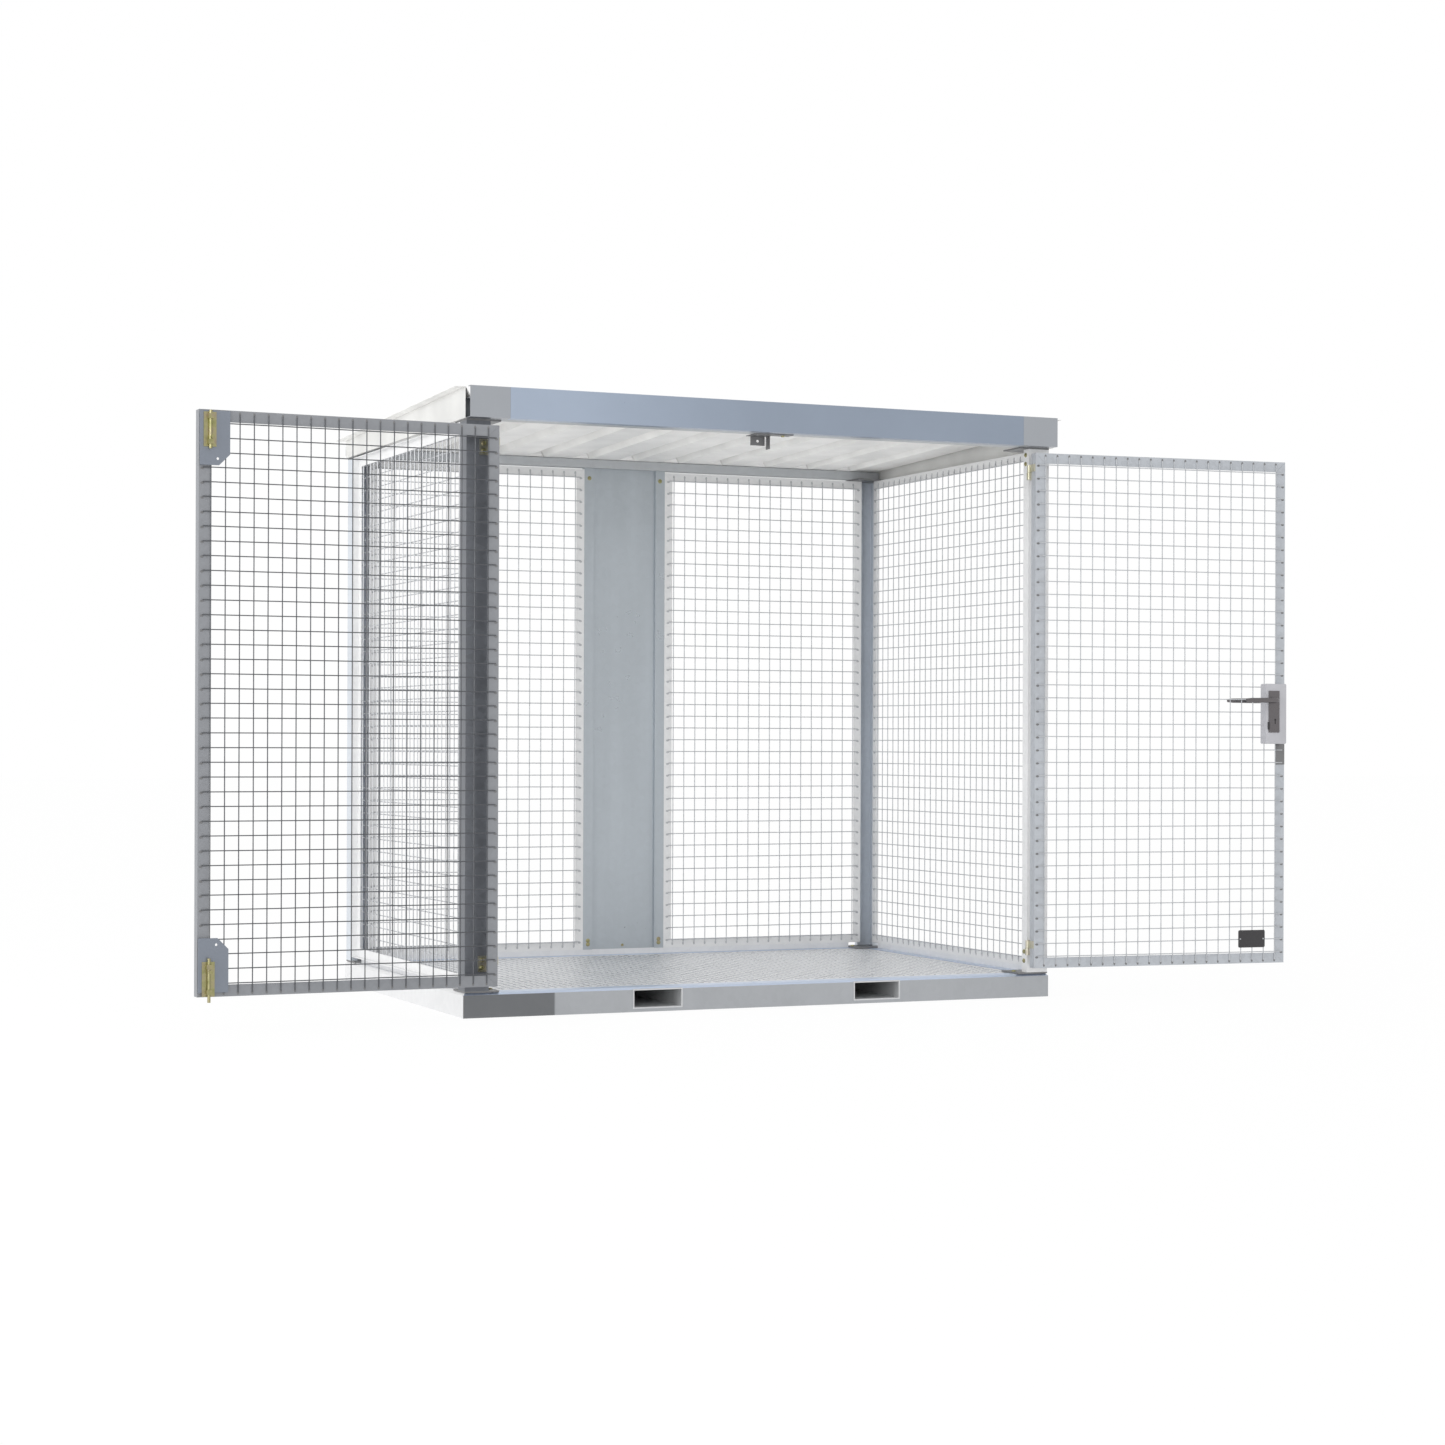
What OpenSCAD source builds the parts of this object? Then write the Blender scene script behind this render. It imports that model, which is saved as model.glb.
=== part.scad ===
/* [Cage] */
// Width over the base
cage_w = 2390; // [1800:10:2800]
// Depth over the base
cage_d = 1550; // [1200:10:1900]
// Height to the top of the fascia
cage_h = 2250; // [2000:10:2500]

/* [Base] */
// Height of the base beams
base_h = 90; // [80:1:120]
// Width of a base beam's top flange
base_flange = 75; // [55:1:90]
// Width of a base beam's bottom flange
base_foot = 40; // [40:1:80]
// Sheet thickness of the base beams
base_t = 3; // [2:0.5:5]
// Bevel along the outer top edge of the base
base_bevel = 9; // [3:0.5:12]
// Thickness of the floor plate
floor_t = 4; // [3:0.5:8]
// How far the floor plate lies below the top of the beams
floor_drop = 2; // [0:0.5:5]
// Joint left open round the floor plate
floor_gap = 5; // [2:1:10]
// Outer width of a fork pocket
pocket_w = 196; // [160:1:240]
// Outer height of a fork pocket
pocket_h = 72; // [60:1:74]
// Wall of a fork pocket
pocket_t = 5; // [3:0.5:8]
// Distance between the centres of the fork pockets
pocket_pitch = 896; // [600:5:1100]
// How far a fork pocket stands proud of the beams
pocket_proud = 2; // [1:0.5:6]
// Width of a floor joist
joist_w = 60; // [40:1:90]

/* [Posts] */
// How far the posts stand in from the edge of the base
post_inset = 5; // [0:0.5:10]
// Sheet thickness of the posts
post_t = 3; // [2:0.5:5]
// Front flange of a front post
post_front = 90; // [80:1:120]
// Lip at the doorway edge of a front post
post_jamb = 40; // [20:1:60]
// Side flange of every post
post_side = 75; // [60:1:110]
// Lip that holds a side panel
post_side_lip = 25; // [15:1:40]
// Back flange of a rear post
post_back = 75; // [60:1:110]
// Lip that holds a back panel
post_back_lip = 25; // [15:1:60]
// Width of the plates at the foot and head of a post
plate_w = 130; // [100:1:160]
// Thickness of the plates at the foot and head of a post
plate_t = 6; // [4:1:10]

/* [Panels] */
// Leg of a panel's angle bars that lies in the panel
bar_face = 35; // [25:1:50]
// Leg of a wall panel's angle bars that points outwards
bar_depth = 28; // [20:1:40]
// Thickness of a panel's angle bars
bar_t = 3; // [2:0.5:5]
// Gap between a wall panel and the post that it is bolted to
panel_gap = 0.3; // [0.1:0.1:0.8]
// Open gap under the wall panels
panel_lift = 22; // [10:1:40]
// How far the back panels stand in from the back of the posts
back_inset = 25; // [10:1:35]
// Width of the sheet column in the middle of the back wall
column_w = 364; // [240:2:500]
// Sheet thickness of the column
column_t = 2; // [1.5:0.5:4]
// Width of the column's edge strips
column_strip = 42; // [25:1:60]
// Depth of the step between the edge strips and the face
column_step = 12; // [6:1:20]

/* [Mesh] */
// Spacing of the mesh wires
mesh_pitch = 50; // [40:5:80]
// Thickness of a mesh wire
wire_d = 4; // [3:0.5:6]
// Depth of the two welded wire layers together
mesh_depth = 8; // [5:0.5:10]
// Distance from a door's edge to the ends of its wires
door_wire_end = 13; // [8:1:20]
// Distance from a wall panel's edge to the ends of its wires
wall_wire_end = 18; // [8:1:24]
// One wire in this many is a solid, and the others are surface detail
wire_step = 2; // [1:1:4]

/* [Roof] */
// Height of the fascia
fascia_h = 112; // [90:1:140]
// How far the fascia stands in front of the base
fascia_out = 58; // [30:1:90]
// Sheet thickness of the fascia
fascia_t = 2; // [1.5:0.5:4]
// Depth of the fascia's top lip
fascia_lip = 25; // [15:1:35]
// Length of a fascia corner piece
fascia_corner = 150; // [100:1:250]
// How far the front roof beam stands in from the front of the base
front_beam_in = 40; // [30:1:60]
// How far the rear roof beam stands in from the back of the posts
rear_beam_in = 8; // [2:1:20]
// Height of the front roof beam
front_beam_h = 74; // [70:1:90]
// Depth of the front roof beam
front_beam_d = 55; // [40:1:60]
// Sheet thickness of the roof beams
roof_beam_t = 3; // [2:0.5:5]
// Height of the rear roof beam
rear_beam_h = 35; // [30:1:50]
// Depth of the rear roof beam
rear_beam_d = 60; // [40:1:80]
// Spacing of the ribs of the roof sheet
rib_pitch = 203; // [150:1:260]
// Height of a rib
rib_h = 35; // [20:1:50]
// Width of a rib at its top
rib_top = 40; // [25:1:60]
// Width of a rib at its foot
rib_foot = 80; // [60:1:110]
// Thickness of the roof sheet
sheet_t = 1; // [0.8:0.1:2]
// How far the roof sheet stands past the rear beam
roof_rear = 30; // [20:1:60]
// Gap between the ends of the roof beams and the outside of the verge trim
verge_out = 10; // [8:1:15]
// Depth of the gutter
gutter_d = 46; // [35:1:70]
// Height of the gutter
gutter_h = 37; // [30:1:50]
// Height of the gutter's outer wall above the top of the rear roof beam
gutter_up = 15; // [5:1:20]
// Height by which the gutter's inner wall laps the rear roof beam's top flange
gutter_lap = 1; // [0.5:0.5:2]

/* [Doors] */
// Height of the doors' lower edge above the ground
door_z = 118; // [105:1:150]
// Gap between the doors and the fascia
door_top_gap = 29; // [20:1:60]
// Gap between the two closed doors
door_meet = 10; // [8:1:20]
// Leg of a door's angle bars that points outwards
door_depth = 40; // [30:1:45]
// Leg of a door's angle bars that lies in the door
door_face = 40; // [30:1:50]
// Thickness of a door's angle bars
door_t = 4; // [3:0.5:6]
// Angle by which the left door stands open
left_open = 178; // [90:0.5:180]
// Angle by which the right door stands open
right_open = 174.5; // [90:0.5:180]

/* [Hinges] */
// Distance from the doorway edge of a post to the hinge pin
hinge_side = 9; // [8:0.5:12]
// Distance from the front of a post to the hinge pin
hinge_front = 20; // [18:0.5:30]
// Diameter of a hinge barrel
barrel_d = 16; // [12:1:20]
// Diameter of a hinge pin
pin_d = 8; // [6:0.5:10]
// Radial play of a hinge pin
pin_play = 0.1; // [0.05:0.01:0.2]
// Height of a whole hinge
hinge_h = 57; // [50:1:80]
// Gap between the two barrels of a hinge
barrel_gap = 1; // [0.5:0.5:2]
// Thickness of a hinge's flaps
flap_t = 4; // [3:0.5:5]
// Gap between a hinge's flap and the doorway edge of its post
flap_gap = 1; // [0.3:0.1:2]
// Width of the flap on a post
flap_w = 40; // [30:1:60]
// Height of the lower hinges above the ground
hinge_low = 165; // [150:1:400]
// Distance from the top of a door to its upper hinge
hinge_drop = 99; // [80:1:400]
// Gap between a door's edge and the line of its hinge pins
edge_gap = 3; // [2:0.5:5]
// Gap between a hinge pin and the line of a closed door's front
leaf_front = 15; // [12:0.5:20]

/* [Bolts] */
// Diameter of a shoot bolt
bolt_d = 11; // [8:1:14]
// Distance from the door's edge to its shoot bolts
bolt_edge = 35; // [30:1:45]
// Radial play of a shoot bolt in its guides
bolt_play = 0.3; // [0.1:0.1:0.5]
// Length of the bottom shoot bolt
bolt_len = 150; // [140:5:200]
// Length of the top shoot bolt
top_bolt_len = 130; // [125:1:160]
// Distance from the door's top edge to the upper corner plate
corner_top = 4; // [2:1:20]
// Distance from the door's lower edge to the lower corner plate
corner_low = 15; // [2:1:30]
// Width of the corner plates
corner_w = 105; // [80:1:140]
// Height of the corner plates
corner_h = 185; // [150:1:240]
// Cut corner of the corner plates
corner_cut = 38; // [20:1:60]
// Thickness of the corner plates
corner_t = 3; // [2:0.5:5]
// Width of a bolt's backing plate
guide_w = 44; // [30:1:60]
// Height of a bolt's backing plate
guide_h = 118; // [105:1:140]
// Thickness of a bolt's backing plate
guide_t = 2.5; // [2:0.5:4]
// Height of one guide block
loop_h = 16; // [10:1:24]
// Wall round the bolt in a guide block
loop_wall = 3; // [2:0.5:5]
// Diameter of the holes that the bolts shoot into
strike_d = 14; // [13:0.5:20]
// Distance from the door's top edge to the upper backing plate
guide_top_gap = 9; // [2:1:20]
// Distance from the door's lower edge to the lower backing plate
guide_low_gap = 2; // [1:1:20]
// Distance from a backing plate's ends to its guide blocks
guide_end = 8; // [4:1:12]
// Distance from the door's top edge to the top bolt's drawn end
bolt_top_gap = 4; // [1:1:10]
// Gap between the base and the bottom bolt's drawn end
bolt_low_gap = 11; // [5:1:20]
// Diameter of a bolt's thumb pin
thumb_pin = 7; // [5:1:9]
// Diameter of the knob on a thumb pin
thumb_d = 12; // [10:1:16]
// How far the knob stands out from the bolt's middle
thumb_out = 28; // [20:1:30]
// Gap between a drawn thumb pin and the guide block behind it
thumb_gap = 2; // [1:0.5:4]
// Diameter of the hole in a corner plate
corner_hole = 9; // [6:1:14]

/* [Strike bracket] */
// Sheet thickness of the strike bracket
bracket_t = 3; // [2:0.5:5]
// Width of the bracket beside the top bolt's hole
bracket_side = 24; // [15:1:40]
// Distance from the top bolt to the stop plate
stop_gap = 25; // [15:1:30]
// Width of the stop plate
stop_w = 58; // [40:1:80]
// Height of the stop plate
stop_h = 36; // [30:1:45]
// Diameter of the hole in the stop plate
stop_hole = 11; // [6:1:16]
// Height of the bracket's cheek
cheek_h = 50; // [30:1:60]
// Depth of the bracket's cheek
cheek_d = 32; // [20:1:36]
// Length of the bracket's arm under the roof beam, past the cheek
arm_len = 70; // [40:1:120]

/* [Lock] */
// Width of the lock box
lock_w = 92; // [80:1:120]
// Height of the lock box
lock_h = 238; // [200:1:300]
// Depth of the lock box
lock_d = 42; // [30:1:60]
// Distance from the door's edge to the lock box
lock_edge = 18; // [10:1:30]
// Height of the lock box's lower edge above the ground
lock_z = 988; // [800:1:1100]
// Width of the handle plate
shield_w = 47; // [35:1:60]
// Height of the handle plate
shield_h = 165; // [140:1:190]
// Thickness of the handle plate
shield_t = 3; // [2:0.5:8]
// Distance from the lock box's lower edge to the handle plate
shield_lift = 45; // [30:1:70]
// Distance from the lock box's hinge side to the handle plate
shield_edge = 12; // [8:1:20]
// Distance from the handle plate's lower edge to the handle
handle_lift = 127; // [110:1:140]
// Length of the handle's grip
grip_len = 140; // [110:1:190]
// Thickness of the handle's grip
grip_d = 17; // [14:1:20]
// How far the grip stands off the handle plate
grip_out = 42; // [36:1:60]
// Diameter of the spindle that joins the two grips
spindle_d = 12; // [8:1:14]
// Radial play of the spindle
spindle_play = 0.3; // [0.1:0.1:0.5]
// How far the outer grip lies behind the line of the hinge pins
outer_grip = 5; // [4:1:20]
// Thickness of the lock's outer plate
lock_plate_t = 4; // [3:0.5:6]
// Diameter of the keyhole's round part
key_d = 9; // [6:1:12]
// Length of the keyhole's slot
key_slot = 16; // [12:1:22]
// Distance from the handle plate's lower edge to the keyhole
key_lift = 50; // [30:1:70]
// Distance from the lock box's hinge side to the outer plate
lock_plate_in = 9; // [4:1:15]

/* [Blank plate] */
// Width of the blank plate
blank_w = 117; // [80:1:150]
// Height of the blank plate
blank_h = 69; // [50:1:100]
// Thickness of the blank plate
blank_t = 2; // [1:0.5:4]
// Distance from the door's edge to the blank plate
blank_edge = 89; // [60:1:150]
// Height of the blank plate's lower edge above the ground
blank_z = 181; // [160:1:400]

/* [Hidden] */
$fn = 48;
eps = 0.01;
over = 1;
seat = 0.3;
half_w = cage_w / 2;
half_d = cage_d / 2;
floor_z = base_h - floor_drop;
foot_z = base_h + plate_t;
fascia_z = cage_h - fascia_h;
head_z = fascia_z - plate_t;
post_x = half_w - post_inset;
post_y = half_d;
jamb_x = post_x - post_front;
panel_z = base_h + panel_lift + seat;
panel_h = head_z - panel_z;
side_len = 2 * (post_y - post_side - panel_gap);
side_face_x = post_x - bar_depth;
back_edge_x = post_x - post_back - panel_gap;
column_edge_x = column_w / 2 + panel_gap;
back_len = back_edge_x - column_edge_x;
back_face_y = post_y - back_inset - bar_depth;
hinge_x = jamb_x - hinge_side;
hinge_y = -(post_y + hinge_front);
door_w = hinge_x - edge_gap - door_meet / 2;
door_top = fascia_z - door_top_gap;
door_h = door_top - door_z;
door_edge = edge_gap + door_w;
door_face_y = leaf_front + door_depth;
plate_y = door_face_y + mesh_depth;
hinge_zs = [hinge_low, door_top - hinge_drop];
bolt_x = door_edge - bolt_edge;
guide_y = plate_y + corner_t;
bolt_y = guide_y + guide_t + loop_wall + bolt_d / 2 + bolt_play;
thumb_rise = guide_end + loop_h + thumb_d / 2 + thumb_gap;
top_guide_z = door_top - guide_h - guide_top_gap;
low_guide_z = door_z + guide_low_gap;
top_bolt_z = door_top - bolt_top_gap - top_bolt_len;
low_bolt_z = base_h + bolt_low_gap;
lock_x = door_edge - lock_edge - lock_w;
lock_face_y = plate_y + lock_d;
shield_x = lock_x + shield_edge;
shield_z = lock_z + shield_lift;
handle_x = shield_x + shield_w / 2;
handle_z = shield_z + handle_lift;
handle_y = lock_face_y + shield_t;
lock_plate_x = lock_x + lock_plate_in;
lock_plate_w = door_edge - door_face - lock_plate_x;
front_beam_y = -(half_d - front_beam_in);
front_beam_z = fascia_z + front_beam_h;
rear_beam_y = post_y - rear_beam_in;
rear_beam_z = fascia_z + rear_beam_h;
roof_run = rear_beam_y + roof_rear - (front_beam_y - front_beam_d);
roof_fall = atan((front_beam_z - rear_beam_z) / (rear_beam_y - front_beam_y));
rib_count = 2 * floor(half_w / rib_pitch) + 3;
strike_x = -(hinge_x - bolt_x);
strike_y = hinge_y + bolt_y;
joist_x = (half_w + pocket_pitch / 2 + pocket_w / 2) / 2;
fascia_back = fascia_out + half_d + front_beam_y - front_beam_d - seat;

// A bar of section children() along +X from 0 to len, its ends cut at 45 degrees so that
// the side at depth 0 stays the longer one. The section lies in Y (depth) and Z (height).
module mitred_bar(len, reach, tall) {
    intersection() {
        rotate([90, 0, 90]) linear_extrude(len) children();
        translate([0, 0, -tall]) linear_extrude(2 * tall + eps)
            polygon([[seat, 0], [len - seat, 0], [len - seat - reach, reach], [seat + reach, reach]]);
    }
}

// Section of a base beam: depth from the outer face in X, height in Y.
module beam_section() {
    k = base_t * (sqrt(2) - 1);
    polygon([
        [0, 0], [base_foot, 0], [base_foot, base_t], [base_t, base_t],
        [base_t, base_h - base_bevel - k], [base_bevel + k, base_h - base_t],
        [base_flange, base_h - base_t], [base_flange, base_h],
        [base_bevel, base_h], [0, base_h - base_bevel],
    ]);
}

module base_beam(len) {
    translate([-len / 2, 0, 0]) mitred_bar(len, base_flange + over, base_h) beam_section();
}

module pocket_cuts() {
    for (s = [-1, 1]) translate([s * pocket_pitch / 2, 0, 0]) {
        translate([-pocket_w / 2 - seat, -half_d - over, floor_z - floor_t - pocket_h - seat])
            cube([pocket_w + 2 * seat, cage_d + 2 * over, pocket_h + 2 * seat]);
    }
}

module base_front_beam() {
    color("lightgray") difference() {
        translate([0, -half_d, 0]) base_beam(cage_w);
        pocket_cuts();
        translate([strike_x, strike_y, base_h - base_t - over])
            cylinder(d = strike_d, h = base_t + 2 * over);
    }
}

module base_rear_beam() {
    color("lightgray") difference() {
        rotate(180) translate([0, -half_d, 0]) base_beam(cage_w);
        pocket_cuts();
    }
}

module base_left_beam() {
    color("lightgray") rotate(-90) translate([0, -half_w, 0]) base_beam(cage_d);
}

module base_right_beam() {
    color("lightgray") rotate(90) translate([0, -half_w, 0]) base_beam(cage_d);
}

module fork_pockets() {
    len = cage_d + 2 * pocket_proud;
    color("gainsboro") for (s = [-1, 1])
        translate([s * pocket_pitch / 2, -len / 2, floor_z - floor_t - pocket_h]) difference() {
            translate([-pocket_w / 2, 0, 0]) cube([pocket_w, len, pocket_h]);
            translate([-pocket_w / 2 + pocket_t, -over, pocket_t])
                cube([pocket_w - 2 * pocket_t, len + 2 * over, pocket_h - 2 * pocket_t]);
        }
}

// Each joist is a channel that stands on the ground between the front and rear beams' feet.
module floor_joists() {
    len = cage_d - 2 * (base_foot + seat);
    color("lightgray") for (x = [-joist_x, 0, joist_x])
        translate([x - joist_w / 2, len / 2, 0]) rotate([90, 0, 0]) linear_extrude(len)
            channel_section(joist_w, floor_z - floor_t, base_t);
}

module floor_plate() {
    w = cage_w - 2 * (base_flange + floor_gap);
    d = cage_d - 2 * (base_flange + floor_gap);
    color("silver") translate([-w / 2, -d / 2, floor_z - floor_t]) cube([w, d, floor_t]);
}

// Plan of a post in its own corner: the outer corner is at 0, across in X, inwards in Y.
module post_plan(across, lip_across, lip_in) {
    t = post_t;
    polygon([
        [0, 0], [across, 0], [across, lip_across], [across - t, lip_across], [across - t, t],
        [t, t], [t, post_side - t], [lip_in, post_side - t], [lip_in, post_side], [0, post_side],
    ]);
}

module front_post() {
    translate([-post_x, -post_y, foot_z]) linear_extrude(head_z - foot_z)
        post_plan(post_front, post_jamb, post_side_lip);
}

module rear_post() {
    translate([-post_x, post_y, foot_z]) mirror([0, 1, 0]) linear_extrude(head_z - foot_z)
        post_plan(post_back, post_back_lip, post_side_lip);
}

module front_left_post() { color("silver") front_post(); }
module front_right_post() { color("silver") mirror([1, 0, 0]) front_post(); }
module rear_left_post() { color("silver") rear_post(); }
module rear_right_post() { color("silver") mirror([1, 0, 0]) rear_post(); }

module corner_plates(z) {
    for (x = [-1, 1], y = [-1, 1])
        translate([x * (post_x - plate_w / 2), y * (post_y - plate_w / 2), z + plate_t / 2])
            cube([plate_w, plate_w, plate_t], center = true);
}

module post_feet() { color("dimgray") corner_plates(base_h); }
module post_heads() { color("dimgray") corner_plates(head_z); }

// A frame of four mitred angle bars. It stands in X and Z from its lower left corner;
// the bars' legs point to -Y, and its flat side, where the mesh is welded on, is at 0.
module angle_frame(w, h, face, depth, t) {
    module bar(len) {
        intersection() {
            rotate([90, 0, 90]) linear_extrude(len)
                polygon([[0, 0], [0, face], [-t, face], [-t, t], [-depth, t], [-depth, 0]]);
            rotate([90, 0, 0]) translate([0, 0, -over]) linear_extrude(depth + 2 * over)
                polygon([[seat, 0], [len - seat, 0], [len - seat - face, face], [seat + face, face]]);
        }
    }
    bar(w);
    translate([w, 0, h]) rotate([0, 180, 0]) bar(w);
    translate([0, 0, h]) rotate([0, 90, 0]) bar(h);
    translate([w, 0, 0]) rotate([0, -90, 0]) bar(h);
}

// Wires across a size: how many cells fit between the frame's bars, and which wires are solid.
function cells(size, face) = floor((size - 2 * face) / mesh_pitch + 0.3);
function solid_wires(n) = concat([for (i = [0 : wire_step : n]) i], n % wire_step > 0 ? [n] : []);
function wire_mids(size, face) =
    let (n = cells(size, face))
    [for (i = solid_wires(n)) (size - n * mesh_pitch) / 2 + i * mesh_pitch];

// Welded mesh of a panel as one flat lattice, whose wires end on the frame's bars.
module mesh_panel(w, h, face, end) {
    r = wire_d / 2;
    xs = wire_mids(w, face);
    zs = wire_mids(h, face);
    nx = len(xs) - 1;
    nz = len(zs) - 1;
    low = [for (x = xs, k = [[-r, zs[0] - r], [-r, end], [r, end], [r, zs[0] - r]]) [x + k[0], k[1]]];
    x1 = xs[nx] + r;
    right = [for (z = zs, k = [[x1, -r], [w - end, -r], [w - end, r], [x1, r]]) [k[0], z + k[1]]];
    high = [for (p = low) [w - p[0], h - p[1]]];
    left = [for (p = right) [w - p[0], h - p[1]]];
    rim = concat(low, right, high, left);
    holes = [for (i = [0 : nx - 1], j = [0 : nz - 1], k = [[0, 0], [0, 1], [1, 1], [1, 0]])
        [k[0] > 0 ? xs[i + 1] - r : xs[i] + r, k[1] > 0 ? zs[j + 1] - r : zs[j] + r]];
    paths = concat([[for (i = [0 : len(rim) - 1]) i]],
        [for (n = [0 : nx * nz - 1]) [for (k = [0 : 3]) len(rim) + 4 * n + k]]);
    rotate([90, 0, 0]) mirror([0, 0, 1]) linear_extrude(mesh_depth) polygon(concat(rim, holes), paths);
}

module on_left_wall() {
    translate([-side_face_x, -side_len / 2, panel_z]) rotate(90) mirror([0, 1, 0]) children();
}
module on_right_wall() { mirror([1, 0, 0]) on_left_wall() children(); }
module on_back_left() {
    translate([-back_edge_x, back_face_y, panel_z]) mirror([0, 1, 0]) children();
}
module on_back_right() { mirror([1, 0, 0]) on_back_left() children(); }

module side_frame() { angle_frame(side_len, panel_h, bar_face, bar_depth, bar_t); }
module back_frame() { angle_frame(back_len, panel_h, bar_face, bar_depth, bar_t); }

module side_mesh() { mesh_panel(side_len, panel_h, bar_face, wall_wire_end); }
module back_mesh() { mesh_panel(back_len, panel_h, bar_face, wall_wire_end); }

module left_panel_frame() { color("silver") on_left_wall() side_frame(); }
module right_panel_frame() { color("silver") on_right_wall() side_frame(); }
module back_left_panel_frame() { color("silver") on_back_left() back_frame(); }
module back_right_panel_frame() { color("silver") on_back_right() back_frame(); }
module left_panel_mesh() { color("gainsboro") on_left_wall() side_mesh(); }
module right_panel_mesh() { color("gainsboro") on_right_wall() side_mesh(); }
module back_left_panel_mesh() { color("gainsboro") on_back_left() back_mesh(); }
module back_right_panel_mesh() { color("gainsboro") on_back_right() back_mesh(); }

// Folded sheet: edge strips in line with the panels' bars, and a face one step further back.
module back_column() {
    w = column_w / 2;
    s = w - column_strip;
    t = column_t;
    half = [[w, bar_depth], [w, 0], [s, 0], [s, column_step]];
    inner = [[s + t, column_step + t], [s + t, t], [w - t, t], [w - t, bar_depth]];
    function flip(list) = [for (i = [len(list) - 1 : -1 : 0]) [-list[i][0], list[i][1]]];
    color("silver") translate([0, back_face_y, panel_z]) linear_extrude(fascia_z - panel_z)
        polygon(concat(half, flip(half), [for (i = [3 : -1 : 0]) [-inner[i][0], inner[i][1]]],
            [for (i = [0 : 3]) inner[i]]));
}

module fascia_section() {
    t = fascia_t;
    polygon([
        [0, 0], [fascia_back, 0], [fascia_back, t], [t, t], [t, fascia_h - t],
        [fascia_lip, fascia_h - t], [fascia_lip, fascia_h], [0, fascia_h],
    ]);
}

module fascia_piece(x0, x1) {
    translate([x0, -half_d - fascia_out, fascia_z]) rotate([90, 0, 90])
        linear_extrude(x1 - x0) fascia_section();
}

module fascia() {
    color("lightsteelblue") fascia_piece(-half_w + fascia_corner + seat, half_w - fascia_corner - seat);
}

module fascia_corners() {
    color("lightsteelblue") {
        fascia_piece(-half_w, -half_w + fascia_corner);
        fascia_piece(half_w - fascia_corner, half_w);
    }
}

// Channel section that opens to the front: depth in X from its web, height in Y.
module channel_section(d, h, t) {
    polygon([[0, 0], [d, 0], [d, t], [t, t], [t, h - t], [d, h - t], [d, h], [0, h]]);
}

module front_roof_beam() {
    color("silver") translate([-post_x, front_beam_y, fascia_z]) mirror([0, 1, 0]) rotate([90, 0, 90])
        linear_extrude(2 * post_x) channel_section(front_beam_d, front_beam_h, roof_beam_t);
}

module rear_roof_beam() {
    color("silver") translate([-post_x, rear_beam_y - rear_beam_d, fascia_z]) rotate([90, 0, 90])
        linear_extrude(2 * post_x) channel_section(rear_beam_d, rear_beam_h, roof_beam_t);
}

// Verge trim outside the roof beams' ends: a flange below, and a web up to the crest of the edge rib.
module roof_side() {
    t = roof_beam_t / 2;
    y0 = front_beam_y - front_beam_d;
    y1 = rear_beam_y;
    top = front_beam_z + front_beam_d * tan(roof_fall) + rib_h;
    translate([-post_x - verge_out, 0, 0]) {
        rotate([90, 0, 90]) linear_extrude(t)
            polygon([[y0, fascia_z], [y1, fascia_z], [y1, rear_beam_z + rib_h], [y0, top]]);
        translate([0, y0, fascia_z]) cube([verge_out - seat, y1 - y0, t]);
    }
}

module roof_side_left() { color("whitesmoke") roof_side(); }
module roof_side_right() { color("whitesmoke") mirror([1, 0, 0]) roof_side(); }

// Section of the ribbed sheet. It ends at both sides with the crest of an edge rib.
module sheet_outline() {
    n = (rib_count - 1) / 2;
    rib = [[-rib_foot / 2, 0], [-rib_top / 2, rib_h], [rib_top / 2, rib_h], [rib_foot / 2, 0]];
    all = [for (k = [-n : n], p = rib) [k * rib_pitch + p[0], p[1]]];
    line = [for (i = [1 : len(all) - 2]) all[i]];
    back = [for (i = [len(line) - 1 : -1 : 0]) [line[i][0], line[i][1] + sheet_t]];
    polygon(concat(line, back));
}

module roof_sheet() {
    color("ivory") translate([0, front_beam_y, front_beam_z + seat]) rotate([-roof_fall, 0, 0])
        translate([0, roof_run - front_beam_d, 0]) rotate([90, 0, 0])
            linear_extrude(roof_run) sheet_outline();
}

// Gutter under the sheet's rear edge: its inner wall is lower and hangs on the rear roof beam.
module rear_gutter() {
    t = roof_beam_t / 2;
    low = gutter_h - gutter_up - roof_beam_t + gutter_lap;
    z = rear_beam_z + gutter_up - gutter_h;
    color("silver") translate([-post_x, rear_beam_y + seat, z]) rotate([90, 0, 90])
        linear_extrude(2 * post_x)
            polygon([[0, low], [0, 0], [gutter_d, 0], [gutter_d, gutter_h], [gutter_d - t, gutter_h],
                [gutter_d - t, t], [t, t], [t, low]]);
}

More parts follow.
